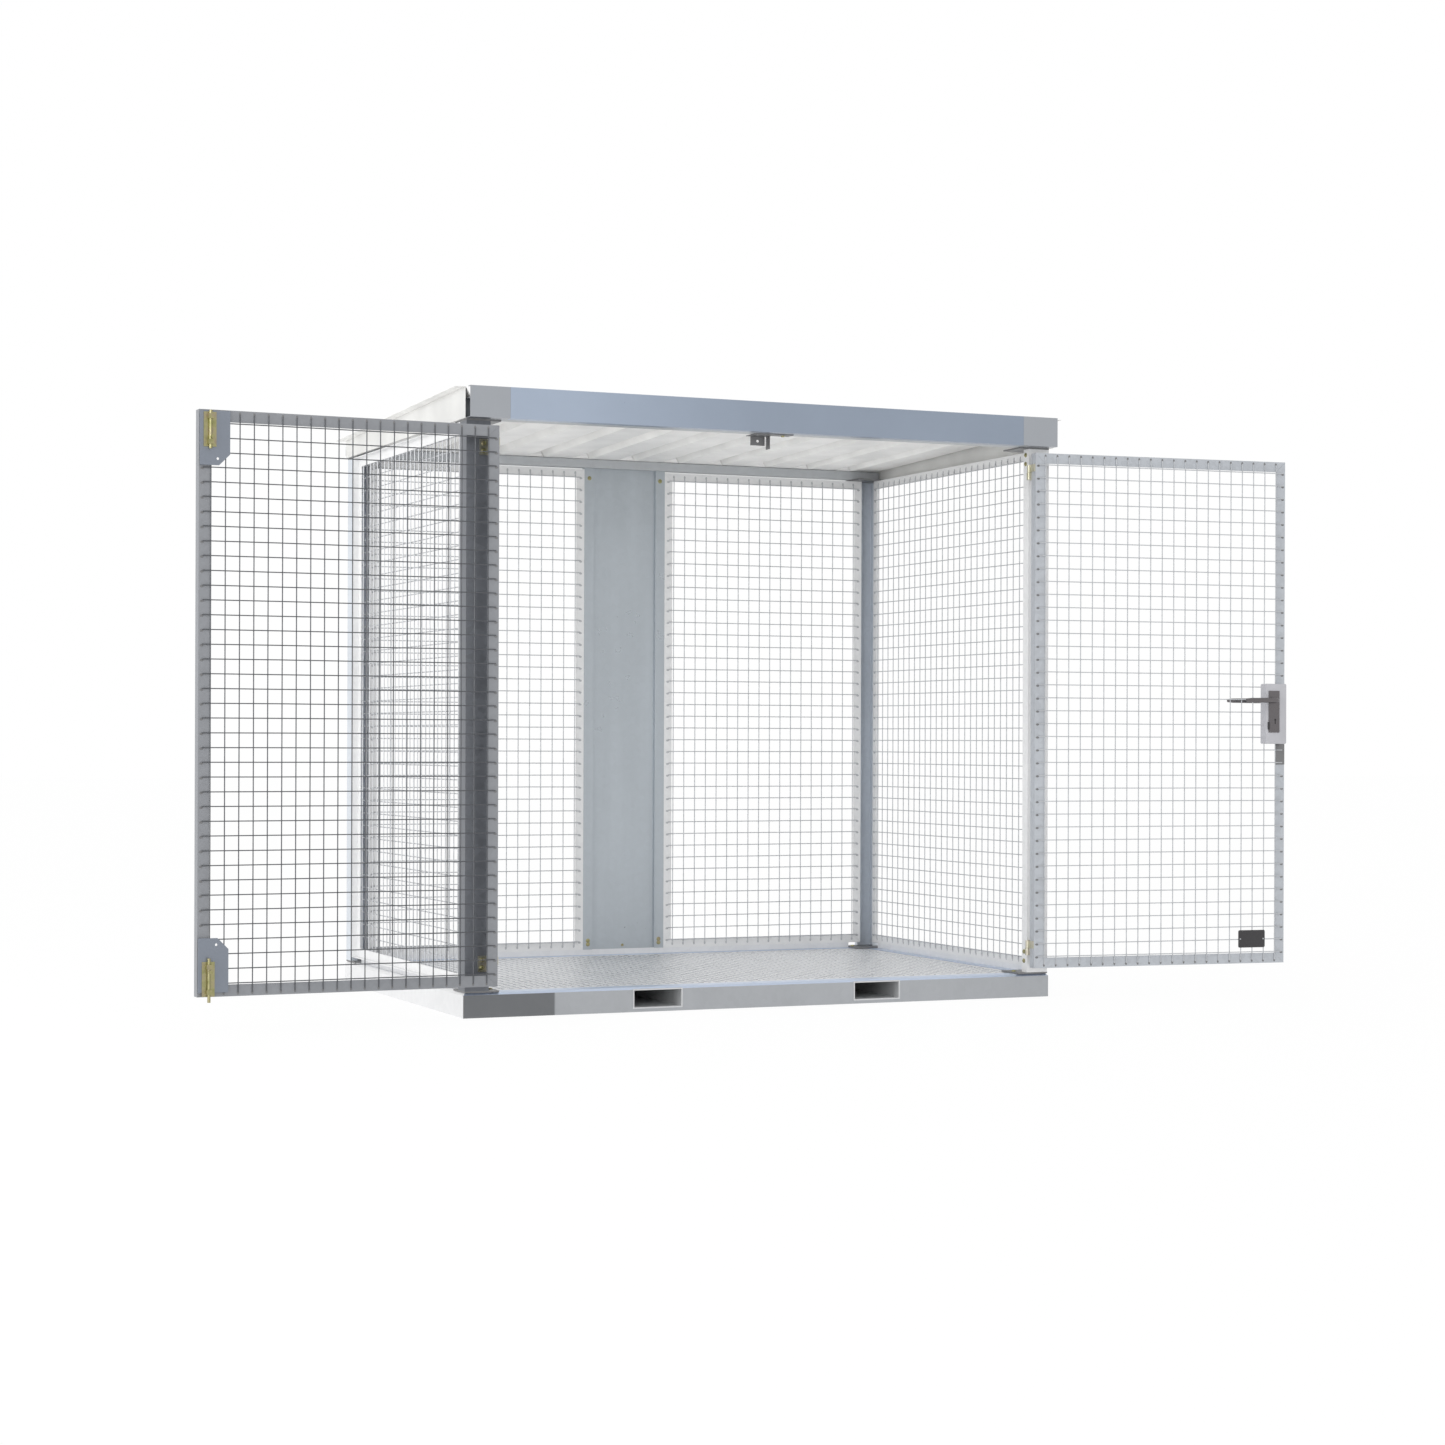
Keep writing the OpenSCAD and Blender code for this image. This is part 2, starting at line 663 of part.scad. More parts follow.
// Bracket under the front roof beam: a flange with the top bolt's hole and an arm along the beam,
// a stop plate and a cheek.
module strike_bracket() {
    t = bracket_t;
    x0 = strike_x - bracket_side;
    y0 = front_beam_y - front_beam_d + roof_beam_t;
    stop_x = strike_x - strike_d / 2;
    stop_y = strike_y + stop_gap;
    cheek_x = stop_x + stop_w + 2 * t;
    color("gray") difference() {
        union() {
            translate([x0, y0, fascia_z - t]) cube([cheek_x + t - x0, stop_y + t - y0, t]);
            translate([x0, y0, fascia_z - t]) cube([cheek_x + arm_len - x0, front_beam_y - y0, t]);
            translate([stop_x, stop_y, fascia_z - stop_h]) cube([stop_w, t, stop_h]);
            translate([cheek_x, stop_y + t - cheek_d, fascia_z - cheek_h]) cube([t, cheek_d, cheek_h]);
        }
        translate([strike_x, strike_y, fascia_z - t - over]) cylinder(d = strike_d, h = t + 2 * over);
        translate([stop_x + stop_w / 2, stop_y - over, fascia_z - t - (stop_h - t) / 2])
            rotate([-90, 0, 0]) cylinder(d = stop_hole, h = t + 2 * over);
    }
}

// The fixed half of a hinge: lower barrel, pin and flap, on the left post.
module hinge_butt() {
    half = (hinge_h - barrel_gap) / 2;
    out = hinge_side + flap_gap + flap_t;
    translate([-hinge_x, hinge_y, 0]) {
        cylinder(d = barrel_d, h = half);
        cylinder(d = pin_d, h = hinge_h);
        translate([-out, 0, 0]) cube([out, hinge_front, half]);
        translate([-hinge_side - flap_gap - flap_w, hinge_front - flap_t, 0]) cube([flap_w, flap_t, hinge_h]);
    }
}

module hinge_butts() {
    color("khaki") for (m = [0, 1], z = hinge_zs) mirror([m, 0, 0]) translate([0, 0, z]) hinge_butt();
}

// The swinging half of a hinge in the door's own frame: the pin is at 0, the door lies to +X.
module hinge_leaf() {
    half = (hinge_h - barrel_gap) / 2;
    translate([0, 0, hinge_h - half]) difference() {
        union() {
            cylinder(d = barrel_d, h = half);
            translate([edge_gap - flap_t, 0, 0]) cube([flap_t, door_face_y - door_t, half]);
        }
        translate([0, 0, -over]) cylinder(r = pin_d / 2 + pin_play, h = half + 2 * over);
    }
}

// Door parts are drawn closed, with the pins' line at 0, the door to +X and inside to +Y.
module on_left_door() { translate([-hinge_x, hinge_y, 0]) rotate(-left_open) children(); }
module on_right_door() {
    translate([hinge_x, hinge_y, 0]) rotate(right_open) mirror([1, 0, 0]) children();
}

module door_frame() {
    translate([edge_gap, door_face_y, door_z]) angle_frame(door_w, door_h, door_face, door_depth, door_t);
}

module door_mesh() {
    translate([edge_gap, door_face_y, door_z]) mesh_panel(door_w, door_h, door_face, door_wire_end);
}

module left_door_frame() { color("silver") on_left_door() door_frame(); }
module left_door_mesh() { color("gainsboro") on_left_door() door_mesh(); }
module right_door_frame() { color("silver") on_right_door() door_frame(); }
// The right door's mesh is cut away behind the lock.
module right_door_mesh() {
    color("gainsboro") on_right_door() difference() {
        door_mesh();
        translate([lock_plate_x, door_face_y - over, shield_z])
            cube([lock_plate_w - lock_plate_in, mesh_depth + 2 * over, shield_h]);
    }
}
module left_door_hinges() {
    color("khaki") on_left_door() for (z = hinge_zs) translate([0, 0, z]) hinge_leaf();
}
module right_door_hinges() {
    color("khaki") on_right_door() for (z = hinge_zs) translate([0, 0, z]) hinge_leaf();
}

// A corner plate with its inner corner cut off, drawn for the top of the door.
module corner_sheet() {
    difference() {
        rotate([90, 0, 0]) mirror([0, 0, 1]) linear_extrude(corner_t)
            polygon([[0, 0], [corner_w, 0], [corner_w, -corner_h], [corner_cut, -corner_h],
                [0, corner_cut - corner_h]]);
        translate([corner_cut + corner_hole / 2, -over, 2.5 * corner_hole - corner_h]) rotate([-90, 0, 0])
            cylinder(d = corner_hole, h = corner_t + 2 * over);
    }
}

module top_corner_plate() {
    color("silver") on_left_door() translate([door_edge - corner_w, plate_y, door_top - corner_top])
        corner_sheet();
}

module bottom_corner_plate() {
    color("silver") on_left_door() translate([door_edge - corner_w, plate_y, door_z + corner_low])
        mirror([0, 0, 1]) corner_sheet();
}

// Backing plate with two guide blocks for a shoot bolt.
module bolt_guide(z) {
    block_w = bolt_d + 2 * (bolt_play + loop_wall);
    translate([bolt_x, guide_y, z]) difference() {
        union() {
            translate([-guide_w / 2, 0, 0]) cube([guide_w, guide_t, guide_h]);
            for (z1 = [guide_end, guide_h - guide_end - loop_h]) translate([-block_w / 2, 0, z1])
                cube([block_w, guide_t + block_w, loop_h]);
        }
        translate([0, bolt_y - guide_y, -over])
            cylinder(r = bolt_d / 2 + bolt_play, h = guide_h + 2 * over);
    }
}

module top_bolt_guide() { color("gold") on_left_door() bolt_guide(top_guide_z); }
module bottom_bolt_guide() { color("gold") on_left_door() bolt_guide(low_guide_z); }

// A shoot bolt with its thumb pin; its lower end is at 0.
module shoot_bolt(length, thumb) {
    cylinder(d = bolt_d, h = length);
    translate([0, 0, thumb]) rotate([-90, 0, 0]) cylinder(d = thumb_pin, h = thumb_out);
    translate([0, thumb_out - thumb_d / 2, thumb]) rotate([-90, 0, 0])
        cylinder(d = thumb_d, h = thumb_d / 2);
}

// The thumb pins rest just off a guide block and have the bolt's travel free before them.
module top_bolt() {
    color("goldenrod") on_left_door() translate([bolt_x, bolt_y, top_bolt_z])
        shoot_bolt(top_bolt_len, top_guide_z + thumb_rise - top_bolt_z);
}

module bottom_bolt() {
    color("goldenrod") on_left_door() translate([bolt_x, bolt_y, low_bolt_z])
        shoot_bolt(bolt_len, low_guide_z + guide_h - thumb_rise - low_bolt_z);
}

module spindle_bore(y0, y1) {
    translate([handle_x, y0, handle_z]) rotate([-90, 0, 0])
        cylinder(r = spindle_d / 2 + spindle_play, h = y1 - y0);
}

module lock_box() {
    color("lightgray") on_right_door() difference() {
        translate([lock_x, plate_y, lock_z]) cube([lock_w, lock_d, lock_h]);
        spindle_bore(plate_y - over, lock_face_y + over);
    }
}

module keyhole(y0, y1) {
    translate([handle_x + key_d / 2, y0, shield_z + key_lift]) {
        rotate([-90, 0, 0]) cylinder(d = key_d, h = y1 - y0);
        translate([-key_d / 4, 0, -key_slot]) cube([key_d / 2, y1 - y0, key_slot]);
    }
}

module handle_plate() {
    color("dimgray") on_right_door() difference() {
        translate([shield_x, lock_face_y, shield_z]) cube([shield_w, shield_t, shield_h]);
        keyhole(lock_face_y - over, handle_y + over);
        spindle_bore(lock_face_y - over, handle_y + over);
    }
}

module outer_lock_plate() {
    y0 = door_face_y - lock_plate_t;
    color("lightgray") on_right_door() difference() {
        translate([lock_plate_x, y0, shield_z]) cube([lock_plate_w, lock_plate_t, shield_h]);
        keyhole(y0 - over, door_face_y + over);
        spindle_bore(y0 - over, door_face_y + over);
    }
}

// Two grips on one spindle, one on each side of the door.
module door_handle() {
    y1 = handle_y + grip_out;
    r = grip_d / 2;
    color("dimgray") on_right_door() {
        translate([handle_x, -outer_grip - grip_d, handle_z]) rotate([-90, 0, 0])
            cylinder(d = spindle_d, h = y1 + outer_grip + grip_d);
        for (y = [y1 - grip_d, -outer_grip - grip_d])
            translate([handle_x - grip_len, y, handle_z - r]) cube([grip_len + r, grip_d, grip_d]);
    }
}

module blank_plate() {
    color("#333333") on_right_door()
        translate([door_edge - blank_edge - blank_w, plate_y, blank_z]) cube([blank_w, blank_t, blank_h]);
}

base_front_beam();
base_rear_beam();
base_left_beam();
base_right_beam();
fork_pockets();
floor_joists();
floor_plate();
front_left_post();
front_right_post();
rear_left_post();
rear_right_post();
post_feet();
post_heads();
left_panel_frame();
right_panel_frame();
back_left_panel_frame();
back_right_panel_frame();
left_panel_mesh();
right_panel_mesh();
back_left_panel_mesh();
back_right_panel_mesh();
back_column();
fascia();
fascia_corners();
front_roof_beam();
rear_roof_beam();
roof_side_left();
roof_side_right();
roof_sheet();
rear_gutter();
strike_bracket();
hinge_butts();
left_door_frame();
left_door_mesh();
left_door_hinges();
top_corner_plate();
bottom_corner_plate();
top_bolt_guide();
bottom_bolt_guide();
top_bolt();
bottom_bolt();
right_door_frame();
right_door_mesh();
right_door_hinges();
lock_box();
handle_plate();
outer_lock_plate();
blank_plate();
door_handle();
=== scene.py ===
import bpy
import numpy as np
from mathutils import Matrix


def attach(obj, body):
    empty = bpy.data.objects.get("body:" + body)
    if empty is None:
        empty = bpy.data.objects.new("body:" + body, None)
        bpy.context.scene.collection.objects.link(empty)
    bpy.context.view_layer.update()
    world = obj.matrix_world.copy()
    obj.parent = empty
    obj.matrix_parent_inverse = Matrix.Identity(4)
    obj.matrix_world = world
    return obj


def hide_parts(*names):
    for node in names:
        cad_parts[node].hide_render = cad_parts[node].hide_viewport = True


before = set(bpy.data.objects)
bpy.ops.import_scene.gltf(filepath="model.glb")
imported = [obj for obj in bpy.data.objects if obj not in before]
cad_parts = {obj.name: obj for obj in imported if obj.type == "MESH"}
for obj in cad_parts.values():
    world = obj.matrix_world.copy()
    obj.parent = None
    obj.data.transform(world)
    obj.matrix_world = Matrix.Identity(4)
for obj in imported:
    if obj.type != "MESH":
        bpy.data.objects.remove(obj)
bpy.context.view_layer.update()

# Camera
# It stands in front and to the left at chest height, looking level and slightly to the right,
# with a short telephoto lens. The lens is shifted a little so that the verticals stay upright.
camera_place = np.array([-4.2507, -10.1672, 0.991])
heading = 0.4078
lean = 0.0035
ahead = np.array([np.sin(heading), np.cos(heading), 0.0])
level = np.array([np.cos(heading), -np.sin(heading), 0.0])
upright = np.array([0.0, 0.0, 1.0])
across = np.cos(lean) * level + np.sin(lean) * upright
above = np.cos(lean) * upright - np.sin(lean) * level

lens = bpy.data.cameras.new("camera")
lens.sensor_width = 36.0
lens.lens = 68.82
lens.shift_y = 0.01295
lens.clip_start = 0.1
lens.clip_end = 200.0
camera = bpy.data.objects.new("camera", lens)
camera.matrix_world = Matrix([
    [across[0], above[0], -ahead[0], camera_place[0]],
    [across[1], above[1], -ahead[1], camera_place[1]],
    [across[2], above[2], -ahead[2], camera_place[2]],
    [0.0, 0.0, 0.0, 1.0],
])
bpy.context.collection.objects.link(camera)
scene = bpy.context.scene
scene.camera = camera
scene.view_settings.view_transform = "Standard"


class Mix:
    """One output in a material's nodes. Arithmetic on it adds Math nodes."""

    def __init__(self, tree, socket=None):
        self.tree = tree
        self.socket = socket

    def node(self, kind, settings=(), inputs=(), output=0):
        """Adds any node: first its settings, then the values or links of its sockets."""
        made = self.tree.nodes.new("ShaderNode" + kind)
        for key, value in dict(settings).items():
            if key == "stops":
                stops = made.color_ramp.elements
                stops[0].position, stops[0].color = value[0]
                stops[-1].position, stops[-1].color = value[-1]
                for place, colour in value[1:-1]:
                    stops.new(place).color = colour
            else:
                setattr(made, key, value)
        for key, value in dict(inputs).items():
            if isinstance(value, Mix):
                self.tree.links.new(value.socket, made.inputs[key])
            else:
                made.inputs[key].default_value = value
        return Mix(self.tree, made.outputs[output] if len(made.outputs) else None)

    def maths(self, operation, *values, clamp=False):
        settings = {"operation": operation, "use_clamp": clamp}
        return self.node("Math", settings, dict(enumerate(values)))

    def __add__(self, other):
        return self.maths("ADD", self, other)

    def __sub__(self, other):
        return self.maths("SUBTRACT", self, other)

    def __rsub__(self, other):
        return self.maths("SUBTRACT", other, self)

    def __mul__(self, other):
        return self.maths("MULTIPLY", self, other)

    __radd__ = __add__
    __rmul__ = __mul__

    def between(self, low, high):
        """0 below low, 1 above high, and a smooth rise between them."""
        settings = {"interpolation_type": "SMOOTHSTEP"}
        return self.node("MapRange", settings, {"Value": self, "From Min": low, "From Max": high})

    def blend(self, first, second):
        """The first colour where this is 0, the second where it is 1."""
        inputs = {0: self, 6: first, 7: second}
        return self.node("Mix", {"data_type": "RGBA"}, inputs, output=2)


# Studio
# A plain pale floor and a white surround. The surround lights the object softly, and a large
# lamp at the left makes the faces that look to the left bright, as in a photo studio.
white = (1.0, 1.0, 1.0, 1.0)
surround_level = 0.95


def seen_directly(mix):
    """1 where the camera, a mirror image or a look through glass meets this surface."""
    path = mix.tree.nodes.new("ShaderNodeLightPath")
    ray = [Mix(mix.tree, path.outputs[name]) for name in
           ("Is Camera Ray", "Is Glossy Ray", "Is Transmission Ray")]
    return ray[0], ray[1], ray[2]


world = bpy.data.worlds.new("studio")
world.use_nodes = True
world.node_tree.nodes.clear()
sky = Mix(world.node_tree)
camera_ray, glossy_ray, clear_ray = seen_directly(sky)
plain = camera_ray.maths("MAXIMUM", camera_ray, clear_ray)
strength = plain + (1 - plain) * (glossy_ray * 0.92 + (1 - glossy_ray) * surround_level)
background = sky.node("Background", {}, {"Color": white, "Strength": strength})
sky.node("OutputWorld", {}, {"Surface": background})
scene.world = world

floor_reach = 60.0
floor_drop = 0.0005
floor_mesh = bpy.data.meshes.new("studio_floor")
floor_mesh.from_pydata(
    [(-floor_reach, -floor_reach, -floor_drop), (floor_reach, -floor_reach, -floor_drop),
     (floor_reach, floor_reach, -floor_drop), (-floor_reach, floor_reach, -floor_drop)],
    [], [(0, 1, 2, 3)])
studio_floor = bpy.data.objects.new("studio_floor", floor_mesh)
bpy.context.collection.objects.link(studio_floor)
floor_finish = bpy.data.materials.new("pale_floor")
floor_finish.use_nodes = True
floor_finish.node_tree.nodes.clear()
ground = Mix(floor_finish.node_tree)
camera_ray, glossy_ray, clear_ray = seen_directly(ground)
matt = ground.node("BsdfDiffuse", {}, {"Color": (0.96, 0.96, 0.96, 1.0)})
glow = ground.node("Emission", {}, {"Color": white, "Strength": 1.0})
share = camera_ray.maths("MAXIMUM", camera_ray, glossy_ray) * 0.95
ground.node("OutputMaterial", {}, {"Surface": ground.node("MixShader", {}, {0: share, 1: matt, 2: glow})})
floor_mesh.materials.append(floor_finish)


def lamp(name, place, target, size, power, colour=(1.0, 1.0, 1.0)):
    """A square soft lamp that looks at a point."""
    data = bpy.data.lights.new(name, "AREA")
    data.size = size
    data.energy = power
    data.color = colour
    made = bpy.data.objects.new(name, data)
    back = np.array(place) - np.array(target)
    back = back / np.linalg.norm(back)
    side = np.cross(upright, back)
    side = side / np.linalg.norm(side)
    top = np.cross(back, side)
    rows = np.column_stack([side, top, back, place])
    made.matrix_world = Matrix([*rows.tolist(), [0, 0, 0, 1]])
    made.visible_camera = False
    bpy.context.collection.objects.link(made)


lamp("left_lamp", (-7.5, -1.5, 2.6), (0.0, 0.0, 1.0), 4.5, 170.0)
lamp("front_lamp", (-7.0, -8.5, 1.6), (0.0, 0.0, 1.2), 3.0, 120.0)


# Galvanised steel
# Sheet, bars and wires are dipped in zinc. It dries to a dull bluish grey with faint crystal
# patches, slightly uneven runs and small pale specks.
def material(name):
    made = bpy.data.materials.new(name)
    made.use_nodes = True
    made.node_tree.nodes.clear()
    return made, Mix(made.node_tree)


def galvanised(name, colour, shine=0.42, patches=0.10, patch_size=45.0, metallic=0.85, streak=0.0,
               step=None, painted_highlight_band=None):
    """Zinc: crystal patches from Voronoi cells, slow clouds and fine specks in colour,
    the same patches in roughness, and a shallow dimpled surface. A step along x, given as
    (x0, x1, gain), is painted light and shade: the colour times gain left of x0, and as it is
    right of x1. A band (z, colour) is a painted highlight: the brighter colour above z."""
    made, mix = material(name)
    place = mix.node("TexCoord", output=3)
    cells = mix.node("TexVoronoi", {"feature": "F1"},
                     {"Vector": place, "Scale": patch_size, "Randomness": 1.0}, 1)
    crystal = mix.node("SeparateColor", {}, {0: cells})
    clouds = mix.node("TexNoise", {}, {"Vector": place, "Scale": 3.2, "Detail": 4.0, "Roughness": 0.6})
    specks = mix.node("TexNoise", {}, {"Vector": place, "Scale": 420.0, "Detail": 2.0})
    squeezed = mix.node("Mapping", {}, {"Vector": place, "Scale": (14.0, 14.0, 0.9)})
    runs = mix.node("TexNoise", {}, {"Vector": squeezed, "Scale": 1.0, "Detail": 3.0})
    tone = (crystal - 0.5) * patches + (clouds - 0.5) * 0.34 + (specks - 0.5) * 0.10 + (runs - 0.5) * streak
    tone = tone.maths("ADD", tone, 0.5, clamp=True)

    def shade(gain):
        dark = tuple(c * 0.72 * gain for c in colour) + (1.0,)
        light = tuple(min(1.0, c * 1.28 * gain) for c in colour) + (1.0,)
        return tone.blend(dark, light)

    base = shade(1.0)
    if step is not None:
        x0, x1, gain = step
        base = mix.node("SeparateXYZ", {}, {0: place}).between(x0, x1).blend(shade(gain), base)
    if painted_highlight_band is not None:
        highlight_z, highlight_colour = painted_highlight_band
        highlight_mask = mix.node("SeparateXYZ", {}, {0: place}, 2).between(highlight_z, highlight_z + 0.002)
        base = highlight_mask.blend(base, highlight_colour + (1.0,))
    rough = (crystal - 0.5) * 0.10 + (clouds - 0.5) * 0.16 + shine
    height = specks * 0.5 + clouds * 0.5
    bump = mix.node("Bump", {}, {"Height": height, "Strength": 0.10, "Distance": 0.0006})
    surface = mix.node("BsdfPrincipled", {}, {
        "Base Color": base, "Roughness": rough, "Metallic": metallic, "Normal": bump})
    mix.node("OutputMaterial", {}, {"Surface": surface})
    return made


# Copies of the zinc for the parts. Besides the zinc's own tone, their colours carry painted light and shade. The bars,
# the rear gutter, the left beam of the base and the floor sheet with the closing strips are made lighter as painted
# light, and the fork pockets carry a painted highlight. The front left post, the left door's bars and the left door's
# wires are made darker as painted shade.
steel = galvanised("galvanised_steel", (0.50, 0.52, 0.54), metallic=0.5)
lit_bar_steel = galvanised("galvanised_bars", (0.86, 0.87, 0.88), shine=0.46, patch_size=70.0, metallic=0.25)
rear_steel = galvanised("rear_posts", (0.66, 0.70, 0.75), shine=0.42, patch_size=70.0, metallic=0.5)
shaded_post_steel = galvanised("left_post_sheet", (0.17, 0.18, 0.20), shine=0.46, patches=0.30, metallic=0.5)
shaded_door_steel = galvanised("door_bars", (0.29, 0.30, 0.32), shine=0.46, patches=0.14, patch_size=70.0, metallic=0.5)
leaf_steel = galvanised("right_door_bars", (0.50, 0.525, 0.56), shine=0.46, patches=0.20, patch_size=70.0, metallic=0.5)
# The fascia is painted lighter towards the left, up to 1.35 times, as painted light.
fascia_steel = galvanised("fascia_sheet", (0.31, 0.36, 0.44), shine=0.34, patches=0.03,
                          patch_size=160.0, step=(-1.0, 0.1, 1.35))
cap_steel = galvanised("fascia_caps", (0.40, 0.42, 0.45), shine=0.34, patches=0.03, patch_size=160.0)
plate_steel = galvanised("corner_plates", (0.24, 0.265, 0.31), shine=0.40, patches=0.05, metallic=0.6)
column_steel = galvanised("column_sheet", (0.46, 0.50, 0.535), shine=0.34, patches=0.08, metallic=0.6, streak=0.30)
# The base beams carry painted shade: their colour is 0.44 times as bright left of x = -0.85. A bluish-white painted
# highlight lies above z = 0.0805, on the bevel and the top flange.
base_steel = galvanised("base_beams", (0.42, 0.435, 0.455), shine=0.36, streak=0.10, step=(-0.853, -0.845, 0.44),
                        painted_highlight_band=(0.0805, (0.62, 0.70, 0.84)))
lit_side_steel = galvanised("base_side", (0.80, 0.81, 0.83), shine=0.36, metallic=0.4)
dark_steel = galvanised("plain_steel", (0.22, 0.22, 0.225), shine=0.45, patches=0.06, metallic=0.6)
wire_steel = galvanised("galvanised_wire", (0.50, 0.515, 0.535), shine=0.40, patches=0.20, patch_size=120.0, metallic=0.2)
wall_wire = galvanised("left_wall_wire", (0.55, 0.56, 0.58), shine=0.40, patches=0.20, patch_size=120.0, metallic=0.6)
shaded_door_wire = galvanised("left_door_wire", (0.115, 0.12, 0.13), shine=0.40, patches=0.20, patch_size=120.0, metallic=0.6)
# Colour of the painted shadows of the wire ends on the wall bars.
wire_shadow_steel = galvanised("painted_wire_shadows", (0.52, 0.53, 0.545), shine=0.50, patches=0.20, metallic=0.4)
highlit_rim_steel = galvanised("pocket_rims", (0.62, 0.63, 0.64), shine=0.40, metallic=0.3)
lit_sheet_steel = galvanised("floor_sheet", (0.80, 0.82, 0.86), shine=0.40, patches=0.10, metallic=0.4)

finishes = {
    "base_front_beam": base_steel, "base_rear_beam": base_steel,
    "base_left_beam": lit_side_steel, "base_right_beam": base_steel,
    "fork_pockets": highlit_rim_steel, "floor_joists": base_steel, "floor_plate": lit_sheet_steel,
    "front_left_post": shaded_post_steel, "front_right_post": lit_bar_steel,
    "rear_left_post": rear_steel, "rear_right_post": rear_steel,
    "post_feet": dark_steel, "post_heads": dark_steel,
    "left_panel_frame": lit_bar_steel, "right_panel_frame": lit_bar_steel,
    "back_left_panel_frame": lit_bar_steel, "back_right_panel_frame": lit_bar_steel,
    "back_column": column_steel, "fascia": fascia_steel, "fascia_corners": cap_steel,
    "front_roof_beam": steel, "rear_roof_beam": steel, "rear_gutter": lit_bar_steel,
    "strike_bracket": dark_steel, "left_door_frame": shaded_door_steel, "right_door_frame": leaf_steel,
    "top_corner_plate": plate_steel, "bottom_corner_plate": plate_steel,
    "outer_lock_plate": steel, "lock_box": steel,
}


# White roof sheet and verge trims
# Thin steel, coated off-white on both sides, with a satin surface that is slightly dusty.
def coated(name, colour, shine, grain=0.0):
    """An even coat with slow clouds in colour and roughness, and a fine grain in the bump."""
    made, mix = material(name)
    place = mix.node("TexCoord", output=3)
    clouds = mix.node("TexNoise", {}, {"Vector": place, "Scale": 5.0, "Detail": 5.0})
    fine = mix.node("TexNoise", {}, {"Vector": place, "Scale": 900.0, "Detail": 1.0})
    dark = tuple(c * 0.92 for c in colour) + (1.0,)
    light = tuple(min(1.0, c * 1.05) for c in colour) + (1.0,)
    bump = mix.node("Bump", {}, {"Height": fine, "Strength": 0.06 + grain, "Distance": 0.0004})
    surface = mix.node("BsdfPrincipled", {}, {
        "Base Color": clouds.between(0.3, 0.7).blend(dark, light),
        "Roughness": (clouds - 0.5) * 0.12 + shine, "Metallic": 0.0, "Normal": bump})
    mix.node("OutputMaterial", {}, {"Surface": surface})
    return made


white_coat = coated("white_coat", (0.91, 0.905, 0.885), 0.42)
# The verge trims take the same white coat darkened to grey, as painted shade.
shaded_verge_coat = coated("shaded_verge_coat", (0.66, 0.66, 0.645), 0.45)
finishes["roof_sheet"] = white_coat
finishes["roof_side_left"] = shaded_verge_coat
finishes["roof_side_right"] = shaded_verge_coat


# Yellow zinc plating
# Hinges, shoot bolts, guides and screws have a thin yellow plating that shifts to green and
# pink in patches.
def plated(name, colours, shine=0.30):
    """Thin-film colours: slow noise picks between three tints."""
    made, mix = material(name)
    place = mix.node("TexCoord", output=3)
    clouds = mix.node("TexNoise", {}, {"Vector": place, "Scale": 38.0, "Detail": 3.0})
    stops = [(0.30, colours[0] + (1.0,)), (0.52, colours[1] + (1.0,)), (0.72, colours[2] + (1.0,))]
    tint = mix.node("ValToRGB", {"stops": stops}, {0: clouds})
    surface = mix.node("BsdfPrincipled", {}, {
        "Base Color": tint, "Roughness": clouds * 0.25 + (shine - 0.1), "Metallic": 0.9})
    mix.node("OutputMaterial", {}, {"Surface": surface})
    return made


yellow_zinc = plated("yellow_zinc", ((0.30, 0.30, 0.13), (0.40, 0.37, 0.20), (0.36, 0.30, 0.22)))
pale_zinc = plated("pale_zinc", ((0.48, 0.46, 0.33), (0.60, 0.58, 0.46), (0.58, 0.52, 0.44)))
for node in ("hinge_butts", "left_door_hinges", "right_door_hinges"):
    finishes[node] = pale_zinc
for node in ("top_bolt_guide", "bottom_bolt_guide", "top_bolt", "bottom_bolt"):
    finishes[node] = yellow_zinc


# Dark fittings
# The handle and its plate are a dark bronze-grey metal, and the blank plate is coated charcoal.
handle_coat = galvanised("handle_metal", (0.16, 0.15, 0.155), shine=0.30, patches=0.02, metallic=0.9)
plate_coat = coated("charcoal_coat", (0.035, 0.033, 0.036), 0.36)
finishes["handle_plate"] = handle_coat
finishes["door_handle"] = handle_coat
finishes["blank_plate"] = plate_coat

for node, made in finishes.items():
    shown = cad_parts[node].data
    shown.materials.clear()
    shown.materials.append(made)


# Places of the panels
# Each panel is drawn lying in its own frame: x along its width, y through its thickness and z
# up its height. A place is the turn and shift that puts such a drawing on the cage.
def turn(degrees):
    a = np.radians(degrees)
    return np.array([[np.cos(a), -np.sin(a), 0.0], [np.sin(a), np.cos(a), 0.0], [0.0, 0.0, 1.0]])


flip_x = np.diag([-1.0, 1.0, 1.0])
flip_y = np.diag([1.0, -1.0, 1.0])
here = (np.eye(3), np.zeros(3))
pin = np.array([1.091, 0.795])
left_leaf = (turn(-178.0), np.array([-pin[0], -pin[1], 0.0]))
right_leaf = (turn(174.5) @ flip_x, np.array([pin[0], -pin[1], 0.0]))
panel_z = 0.1123
left_wall = (turn(90.0) @ flip_y, np.array([-1.162, -0.6997, panel_z]))
right_wall = (flip_x @ turn(90.0) @ flip_y, np.array([1.162, -0.6997, panel_z]))
back_left = (flip_y, np.array([-1.1147, 0.722, panel_z]))
back_right = (flip_x @ flip_y, np.array([1.1147, 0.722, panel_z]))


